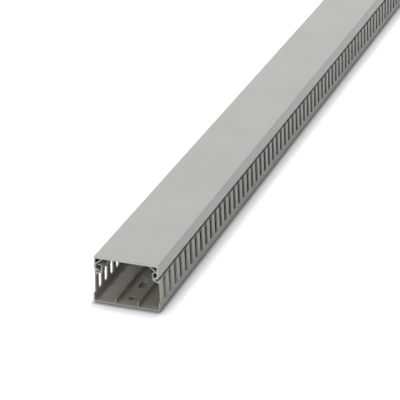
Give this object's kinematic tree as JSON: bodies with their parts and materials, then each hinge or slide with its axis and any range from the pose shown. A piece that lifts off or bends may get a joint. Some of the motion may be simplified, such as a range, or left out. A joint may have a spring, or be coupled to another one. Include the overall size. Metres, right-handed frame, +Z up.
{
  "type": "slotted wire duct",
  "caption": "Straight slotted wire duct of light grey plastic: U-shaped base with punched finger walls, ribbed and drilled floor, and a clip-on cover.",
  "frame": {"origin": "centre of the flat underside, halfway along the stock", "axes": "+Y along the duct, +X across its width, +Z up from the mounting surface towards the cover"},
  "size_m": [0.06, 2, 0.043],
  "materials": {
    "base_pvc": "satin extruded rigid PVC, stone grey, with punched edges",
    "cover_pvc": "satin extruded rigid PVC, stone grey"
  },
  "bodies": {
    "base": {"duct_base": "base_pvc"},
    "cover": {"snap_cover": "cover_pvc"}
  },
  "joints": [
    {"name": "cover_slide", "type": "slide", "parent": "base", "child": "cover", "axis": [0, 1, 0], "range_m": [0, 2]}
  ]
}
